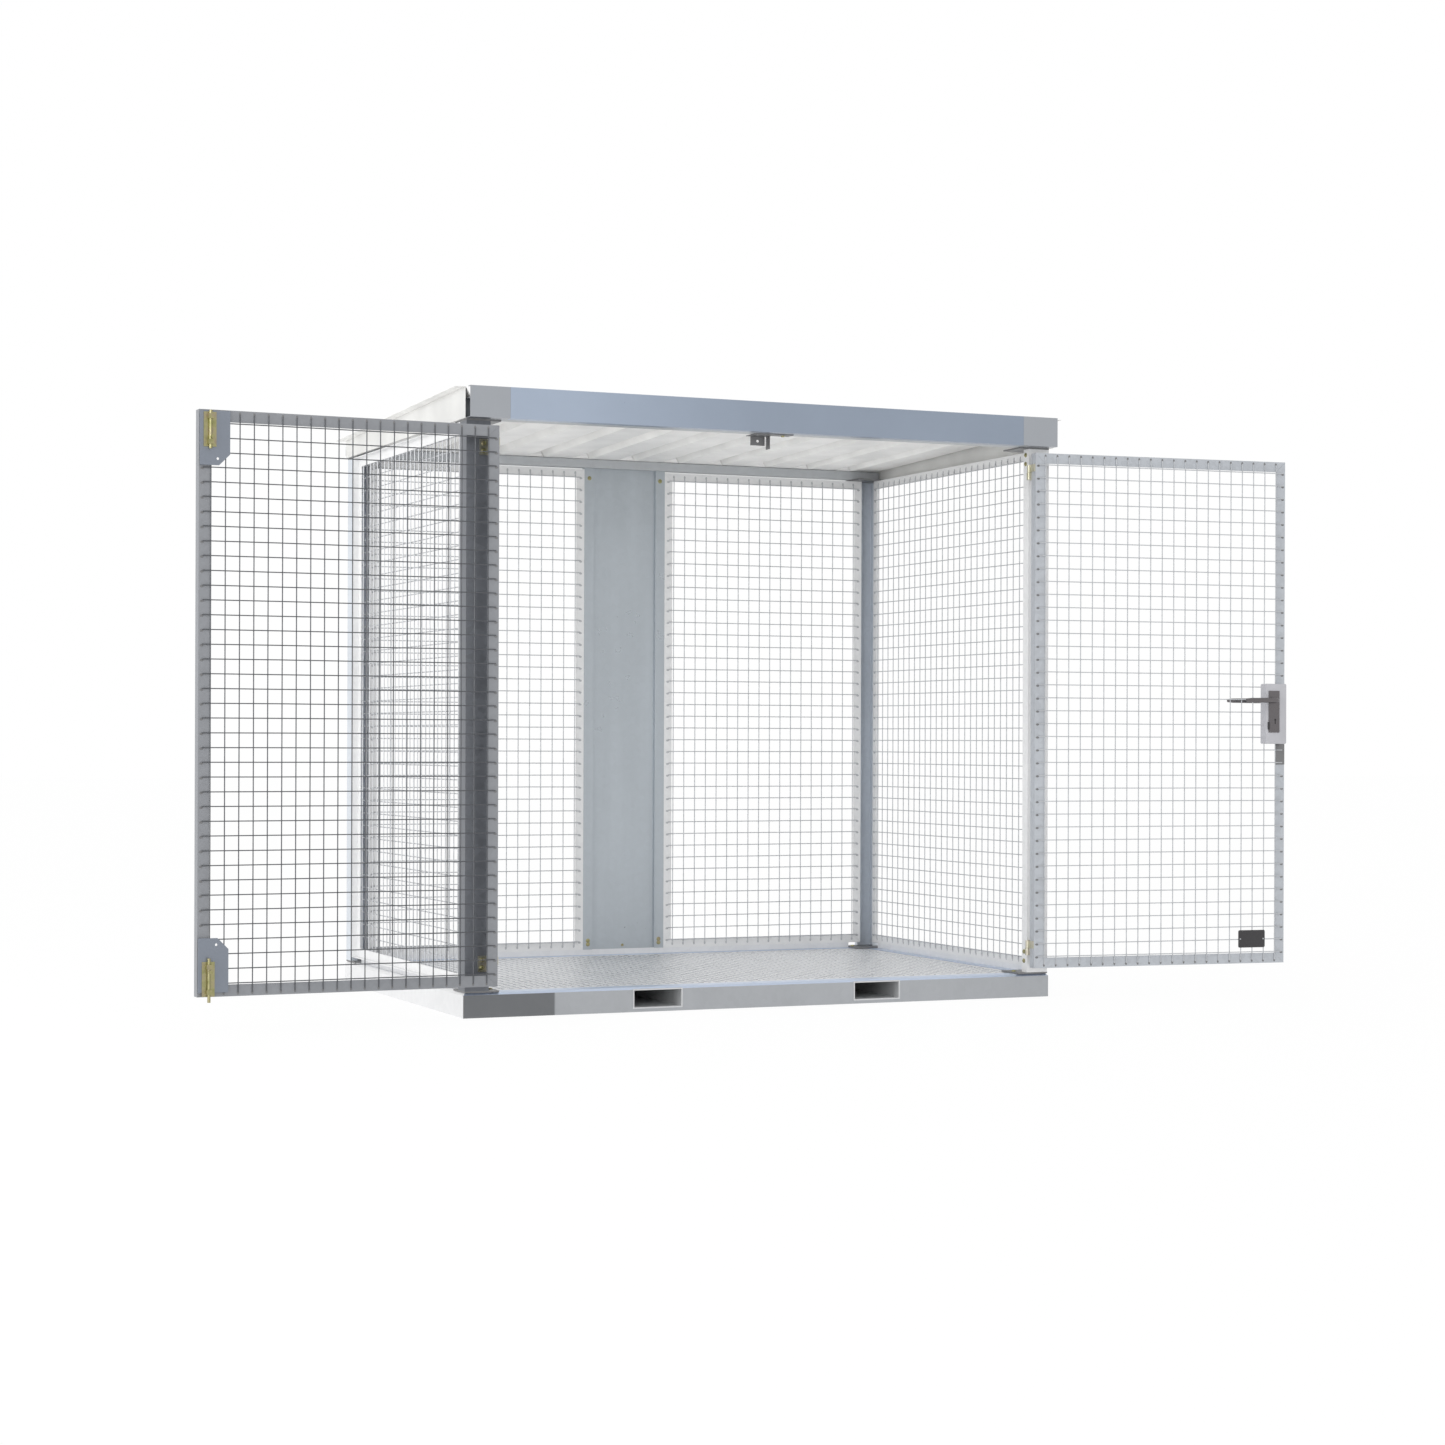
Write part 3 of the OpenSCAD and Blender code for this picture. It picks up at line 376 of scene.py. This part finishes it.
def build(name, shapes, place, body, finish, smooth=True):
    """One mesh from shapes given as (points, faces), put at a place. A place that mirrors the
    drawing turns every face round, so that faces still point outwards."""
    spin, shift = place
    points, faces, count = [], [], 0
    mirrored = np.linalg.det(spin) < 0
    for part_points, part_faces in shapes:
        part_points = np.asarray(part_points, float).reshape(-1, 3)
        points.append(part_points)
        faces += [tuple(i + count for i in (f[::-1] if mirrored else f)) for f in part_faces]
        count += len(part_points)
    placed = np.concatenate(points) @ spin.T + shift
    mesh = bpy.data.meshes.new(name)
    mesh.from_pydata(placed.tolist(), [], faces)
    mesh.materials.append(finish)
    mesh.polygons.foreach_set("use_smooth", [smooth] * len(mesh.polygons))
    mesh.update()
    made = bpy.data.objects.new(name, mesh)
    bpy.context.collection.objects.link(made)
    if smooth:
        mesh.set_sharp_from_angle(angle=0.7)
    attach(made, body)
    return made


def rings(grid):
    """A closed body from rings of points: grid[k, i] is point i of ring k. Each ring runs
    anticlockwise as seen from the end, and both ends are capped."""
    count, sides = grid.shape[:2]
    index = np.arange(count * sides).reshape(count, sides)
    here_, next_ = index, np.roll(index, -1, axis=1)
    quads = np.stack([here_[:-1], next_[:-1], next_[1:], here_[1:]], axis=-1).reshape(-1, 4)
    caps = [tuple(index[0][::-1].tolist()), tuple(index[-1].tolist())]
    return grid.reshape(-1, 3), [tuple(q) for q in quads.tolist()] + caps


def pipe(path, radius, sides=8):
    """A round bar: a circle carried along a path of points. The circle's first axis is the
    path's direction crossed with a fixed upright, or with X where the path itself is upright."""
    path = np.asarray(path, float)
    ahead_ = np.gradient(path, axis=0)
    ahead_ /= np.linalg.norm(ahead_, axis=1, keepdims=True)
    guide = np.array([1.0, 0.0, 0.0]) if abs(ahead_[0][2]) > 0.7 else np.array([0.0, 0.0, 1.0])
    first = np.cross(guide, ahead_)
    first /= np.linalg.norm(first, axis=1, keepdims=True)
    second = np.cross(ahead_, first)
    angle = np.linspace(0.0, 2 * np.pi, sides, endpoint=False) + np.pi / sides
    radius = np.broadcast_to(np.asarray(radius, float), (len(path),))[:, None, None]
    circle = np.cos(angle)[None, :, None] * first[:, None] + np.sin(angle)[None, :, None] * second[:, None]
    return rings(path[:, None] + radius * circle)


# Welded mesh
# Round wires, 4 mm thick, 50 mm apart. The upright wires are welded on the frame's flat side and
# the level wires lie on top of them. Each wire wanders by a fraction of a millimetre.
wire = 0.004
pitch = 0.05
wander = np.random.default_rng(7)


def wire_mids(size, face):
    """Middles of the wires: as many 50 mm cells as fit between the frame's bars."""
    cells = int(np.floor((size - 2 * face) / pitch + 0.3))
    return (size - cells * pitch) / 2 + pitch * np.arange(cells + 1)


def mesh_wires(width, height, face, end, hole=None):
    """Two layers of wires as straight bars with four knees each. A hole is a box (x0, x1, z0,
    z1) that the wires are cut away in."""
    shapes = []
    for upright_wires in (True, False):
        places = wire_mids(width, face) if upright_wires else wire_mids(height, face)
        length = height if upright_wires else width
        depth = wire * (0.5 if upright_wires else 1.5)
        for middle in places:
            spans = [(end, length - end)]
            if hole is not None:
                a, b = (hole[0:2], hole[2:4]) if upright_wires else (hole[2:4], hole[0:2])
                if a[0] < middle < a[1]:
                    spans = [(end, b[0]), (b[1], length - end)]
            for low, high in spans:
                along = np.linspace(low, high, 5)
                sway = wander.normal(0.0, 0.00025, 5)
                if upright_wires:
                    path = np.column_stack([middle + sway, np.full(5, depth), along])
                else:
                    path = np.column_stack([along, np.full(5, depth), middle + sway])
                shapes.append(pipe(path, wire / 2, 8))
    return shapes


def painted_wire_shadows(width, height, face, end):
    """A flat dark oval at each wire's end, a painted shadow of the wire's end on the bar: a ring on
    the bar's face and a slightly smaller one above it. Those of level wires sit a little lower, where the shadow falls."""
    angle = np.linspace(0.0, 2 * np.pi, 8, endpoint=False)
    shapes = []
    for upright_wires in (True, False):
        places = wire_mids(width, face) if upright_wires else wire_mids(height, face)
        length = height if upright_wires else width
        for middle in places:
            for at in (end - 0.002, length - end + 0.002):
                x, z = (middle, at) if upright_wires else (at, middle - shadow_drop)
                half_x, half_z = shadow_half if upright_wires else shadow_half[::-1]
                oval = np.column_stack([x - half_x * np.cos(angle), np.zeros(8), z + half_z * np.sin(angle)])
                inner = oval + 0.15 * (np.array([x, 0.0, z]) - oval) + np.array([0.0, 0.0006, 0.0])
                shapes.append(rings(np.stack([oval - np.array([0.0, 0.0002, 0.0]), inner])))
    return shapes


# Size of the painted wire-end shadows, and how far those of level wires drop below the wire.
shadow_half = (0.0045, 0.0070)
shadow_drop = 0.004
wall_face = 0.035
door_face = 0.040
wall_end = 0.018
door_end = 0.013
side_size = (1.3994, 2.0197)
back_size = (0.9324, 2.0197)
for name, place, size in (
    ("left_panel", left_wall, side_size), ("right_panel", right_wall, side_size),
    ("back_left_panel", back_left, back_size), ("back_right_panel", back_right, back_size),
):
    finish = wall_wire if name == "left_panel" else wire_steel
    wires = build(name + "_wires", mesh_wires(*size, wall_face, wall_end), place, "cage",
                  finish)
    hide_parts(name + "_mesh")
    # Painted shadows of the wire ends on the panel bars.
    build(name + "_painted_wire_shadows", painted_wire_shadows(*size, wall_face, wall_end), place, "cage",
          wire_shadow_steel)

leaf_size = (1.083, 1.991)
leaf_at = np.array([0.003, 0.055, 0.118])


def shifted(place, by):
    """The same place, moved by a vector of its own drawing frame."""
    return place[0], place[1] + place[0] @ np.asarray(by, float)


lock_hole = (0.985 - leaf_at[0], 1.037 - leaf_at[0], 1.033 - leaf_at[2], 1.198 - leaf_at[2])
for name, place, hole in (("left_door", left_leaf, None), ("right_door", right_leaf, lock_hole)):
    # The left door's wires take the darker copy of the wire zinc, as painted shade.
    wires = build(name + "_wires", mesh_wires(*leaf_size, door_face, door_end, hole),
                  shifted(place, leaf_at), name,
                  shaded_door_wire if name == "left_door" else wire_steel)
    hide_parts(name + "_mesh")
    # Painted shadows of the wire ends on the door bars, in dark steel.
    build(name + "_painted_wire_shadows", painted_wire_shadows(*leaf_size, door_face, door_end), shifted(place, leaf_at),
          name, dark_steel)


# Closing strips
# Folded sheet strips close the gap between the wall panels and the base. Each has a leg that
# stands behind the panels' lower bars and a foot that is screwed to the base beam.
def strip_angle(length, tall, foot, thick=0.002):
    """An L section carried along x: the leg stands at y = 0 and the foot points to +y."""
    section = np.array([[0.0, 0.0], [foot, 0.0], [foot, thick], [thick, thick], [thick, tall], [0.0, tall]])
    ends = [np.column_stack([np.full(6, x), section[:, 0], section[:, 1]]) for x in (0.0, length)]
    return rings(np.stack(ends))


strip_z = 0.0902
strip_tall = 0.0235
for name, place, length in (
    ("back_strip", (turn(0.0), np.array([-1.058, 0.7225, strip_z])), 2.116),
    ("left_strip", (turn(90.0), np.array([-1.1625, -0.644, strip_z])), 1.288),
    ("right_strip", (turn(-90.0), np.array([1.1625, 0.644, strip_z])), 1.288),
):
    # The closing strips take the lightened floor sheet zinc, as painted light.
    build(name, [strip_angle(length, strip_tall, 0.022)], place, "cage",
          lit_sheet_steel, smooth=False)


# Floor pattern
# The steel floor has raised drops for grip, rolled in rows that lean left and right in turn.
drop_pitch = 0.034
drop_size = (0.0135, 0.0045, 0.0016)
floor_top = 0.088
floor_half = (1.115, 0.695)


def grip_drops():
    """Flat oval drops: a ring at the floor, a smaller ring above it, and a cap. The rows are
    offset by half a pitch and each drop leans 45 degrees, one way and the other in turn."""
    nx = int(2 * floor_half[0] / drop_pitch) - 1
    ny = int(2 * floor_half[1] / drop_pitch) - 1
    ix, iy = np.meshgrid(np.arange(nx), np.arange(ny), indexing="ij")
    cx = (ix - (nx - 1) / 2) * drop_pitch
    cy = (iy - (ny - 1) / 2) * drop_pitch
    lean_ = np.where((ix + iy) % 2 == 0, 1.0, -1.0) * np.pi / 4
    angle = np.linspace(0.0, 2 * np.pi, 8, endpoint=False)
    long, wide, high = drop_size
    outline = np.stack([np.cos(angle) * long, np.sin(angle) * wide], axis=-1)
    levels = np.array([[1.0, -0.0002], [0.55, high]])
    local = np.concatenate([
        np.column_stack([outline * s, np.full(8, h)]) for s, h in levels])
    c, s = np.cos(lean_).ravel(), np.sin(lean_).ravel()
    x = local[:, 0][None] * c[:, None] - local[:, 1][None] * s[:, None] + cx.ravel()[:, None]
    y = local[:, 0][None] * s[:, None] + local[:, 1][None] * c[:, None] + cy.ravel()[:, None]
    z = np.broadcast_to(local[:, 2][None] + floor_top, x.shape)
    points = np.stack([x, y, z], axis=-1)
    one = [(i, (i + 1) % 8, 8 + (i + 1) % 8, 8 + i) for i in range(8)] + [tuple(range(8, 16))]
    faces = [tuple(i + 16 * k for i in f) for k in range(points.shape[0]) for f in one]
    return points.reshape(-1, 3), faces


drop_steel = galvanised("floor_drops", (0.52, 0.54, 0.57), shine=0.30, patches=0.05)
build("floor_grip_drops", [grip_drops()], here, "cage", drop_steel)


# Screws and bolts
# Hexagon heads on round washers hold the posts, panels, roof and column. Those on the posts and
# at the foot of the column are yellow zinc, the others plain.
def screw(at, out, head=0.0065, tall=0.005, washer=0.009):
    """A washer and a six-sided head on a face: rings of points round an axis that points out
    of the face, from wide and low to narrow and high."""
    out = np.asarray(out, float)
    guide = np.array([0.0, 0.0, 1.0]) if abs(out[2]) < 0.7 else np.array([1.0, 0.0, 0.0])
    first = np.cross(guide, out)
    first /= np.linalg.norm(first)
    second = np.cross(out, first)
    at = np.asarray(at, float)
    made = []
    for sides, profile in (
        (16, ((washer, -0.0004), (washer, 0.0010), (washer * 0.9, 0.0015))),
        (6, ((head, 0.0012), (head, tall * 0.85), (head * 0.86, tall))),
    ):
        angle = np.linspace(0.0, 2 * np.pi, sides, endpoint=False)
        ring = np.cos(angle)[:, None] * first + np.sin(angle)[:, None] * second
        made.append(rings(np.stack([at + radius * ring + out * high for radius, high in profile])))
    return made


post_screws = []
for side in (-1.0, 1.0):
    for high in (0.140, 0.176, 2.075, 2.110):
        post_screws += screw((side * 1.100, -0.752, high), (-side, 0.0, 0.0), head=0.006)
        post_screws += screw((side * 1.165, -0.700, high), (-side, 0.0, 0.0), head=0.006)
    for y in (-0.715, 0.715):
        post_screws += screw((side * 1.075, y, 0.096), (0.0, 0.0, 1.0), head=0.008)
    for high in (0.135, 0.150, 2.095):
        post_screws += screw((side * 0.160, 0.722, high), (0.0, -1.0, 0.0), head=0.006)
post_screws += screw((0.0, 0.734, 0.127), (0.0, -1.0, 0.0), head=0.004, washer=0.006)
post_screws += screw((0.055, -0.760, 2.135), (0.0, 0.0, -1.0), head=0.006)
build("post_screws", post_screws, here, "cage", yellow_zinc)

roof_slope = np.arctan(0.039 / 1.502)
front_pan = 2.2123
roof_screws = []
for rib in range(-5, 6):
    for y in (-0.75, -0.02, 0.72):
        high = front_pan + 0.036 - (y + 0.735) * np.tan(roof_slope)
        roof_screws += screw((rib * 0.203, y, high), (0.0, 0.0, 1.0), head=0.005, washer=0.008)
build("roof_screws", roof_screws, here, "cage", white_coat)

# Rib fillers
# Pale foam blocks close the hollow ribs of the roof sheet where it lies on the rear beam.
def rib_filler(x):
    """The rib's own trapezium, a little smaller, carried back along the rib's slope."""
    section = np.array([[-0.038, 0.0008], [0.038, 0.0008], [0.0188, 0.0335], [-0.0188, 0.0335]])
    ends = []
    for y in (0.712, 0.764):
        level = front_pan - (y + 0.735) * np.tan(roof_slope)
        ends.append(np.column_stack([section[:, 0] + x, np.full(4, y), section[:, 1] + level])[::-1])
    return rings(np.stack(ends))


filler_foam = coated("filler_foam", (0.97, 0.97, 0.96), 0.70)
build("rib_fillers", [rib_filler(rib * 0.203) for rib in range(-5, 6)], here, "cage",
      filler_foam, smooth=False)

hinge_screws = []
for side, leaf in ((-1.0, left_leaf), (1.0, right_leaf)):
    for low in (0.165, 2.010):
        for high in (low + 0.015, low + 0.042):
            hinge_screws += screw((side * 1.127, -0.779, high), (0.0, -1.0, 0.0), head=0.0055)
build("hinge_screws", hinge_screws, here, "cage", yellow_zinc)


# Lock box
# A small welded steel box with rounded corners on the right door's inner side. The lock's
# latch comes out of the edge that meets the left door.
def round_outline(wide, tall, radius, inset=0.0, steps=5):
    """A rectangle with round corners as points in x and z, anticlockwise seen from -y, taken in
    by the inset."""
    angle = np.linspace(0.0, np.pi / 2, steps)
    parts = []
    for k, (cx, cz) in enumerate(((wide - radius, tall - radius), (radius, tall - radius),
                                  (radius, radius), (wide - radius, radius))):
        a = angle + k * np.pi / 2
        parts.append(np.column_stack([cx + (radius - inset) * np.cos(a), cz + (radius - inset) * np.sin(a)]))
    return np.concatenate(parts)


def slab(corner, wide, tall, thick, radius, edge):
    """A plate with round corners and eased edges: outlines stacked along y, from the face on
    the door at the corner's y to the open face."""
    layers = ((0.0, 0.0), (0.0, thick - edge), (edge * 0.3, thick - edge * 0.3), (edge, thick))
    stack = []
    for inset, depth in layers:
        flat = round_outline(wide, tall, radius, inset)[::-1]
        stack.append(np.column_stack([flat[:, 0] + corner[0], np.full(len(flat), corner[1] + depth), flat[:, 1] + corner[2]]))
    return rings(np.stack(stack))


box_low = (0.976, 0.063, 0.988)
lock_coat = coated("lock_box_coat", (0.50, 0.50, 0.53), 0.38)
lock_parts = [slab(box_low, 0.092, 0.042 + 0.196, 0.042, 0.006, 0.003)]
lock_case = build("lock_case", lock_parts, right_leaf, "right_door", lock_coat)
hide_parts("lock_box")

# Lock cylinder, latch button and cover under the box
# A near-black cylinder fills the keyhole; its colour is partly the cylinder's own and partly
# painted shade, the dark of the hole. A black button sits beside the handle plate, and a
# plain sheet covers the stile under the box.
cylinder_low = (1.0105, 0.1035, 1.0655)
cylinder = [slab(cylinder_low, 0.0110, 0.0235, 0.0032, 0.0045, 0.0004)]
build("lock_cylinder", cylinder, right_leaf, "right_door", plate_coat)
button_low = (0.9840, 0.1045, 1.0450)
button = [slab(button_low, 0.008, 0.0300, 0.0060, 0.002, 0.001)]
build("latch_button", button, right_leaf, "right_door", plate_coat)
cover_low = (1.0460, 0.0548, 0.9060)
cover = [slab(cover_low, 0.0395, 0.0815, 0.0035, 0.002, 0.0008)]
build("stile_cover", cover, right_leaf, "right_door", dark_steel)


# Blank plate
# A thin charcoal plate with round corners, riveted on the right door's mesh near the floor.
plate_low = (0.880, 0.063, 0.181)
blank = build("blank_sign_plate", [slab(plate_low, 0.117, 0.069, 0.002, 0.006, 0.0006)],
              right_leaf, "right_door", plate_coat)
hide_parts("blank_plate")
rivets = []
for dx in (0.008, 0.109):
    rivets += screw((plate_low[0] + dx, 0.065, plate_low[2] + 0.0345), (0.0, 1.0, 0.0), head=0.002, tall=0.002, washer=0.003)
build("blank_plate_rivets", rivets, right_leaf, "right_door", steel)


# Door handle
# One spindle with a round-edged lever on each side of the door. Each lever starts in a round
# neck and bends over towards the hinges.
spindle = (1.0115, 1.160)
neck_out = 0.150
lever_reach = 0.140
lever = []
for wall_y, tip_y in ((0.1083, neck_out - 0.009), (0.0507, -0.015)):
    bend = np.linspace(0.0, np.pi / 2, 7)
    way = np.sign(tip_y - wall_y)
    corner = 0.016
    arc_x = spindle[0] - corner * (1 - np.cos(bend))
    arc_y = tip_y - way * corner * (1 - np.sin(bend))
    path_x = np.concatenate([[spindle[0]] * 2, arc_x, np.linspace(spindle[0] - corner - 0.01, spindle[0] - lever_reach, 6)])
    path_y = np.concatenate([[wall_y, tip_y - way * (corner + 0.006)], arc_y, [tip_y] * 6])
    path = np.column_stack([path_x, path_y, np.full(len(path_x), spindle[1])])
    thick = np.concatenate([[0.0095] * 2, [0.0090] * 7, [0.0088, 0.0086, 0.0084, 0.0082, 0.0080, 0.0060]])
    lever.append(pipe(path, thick * 1.12, 14))
handle = build("lever_handles", lever, right_leaf, "handle", handle_coat)
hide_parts("door_handle")
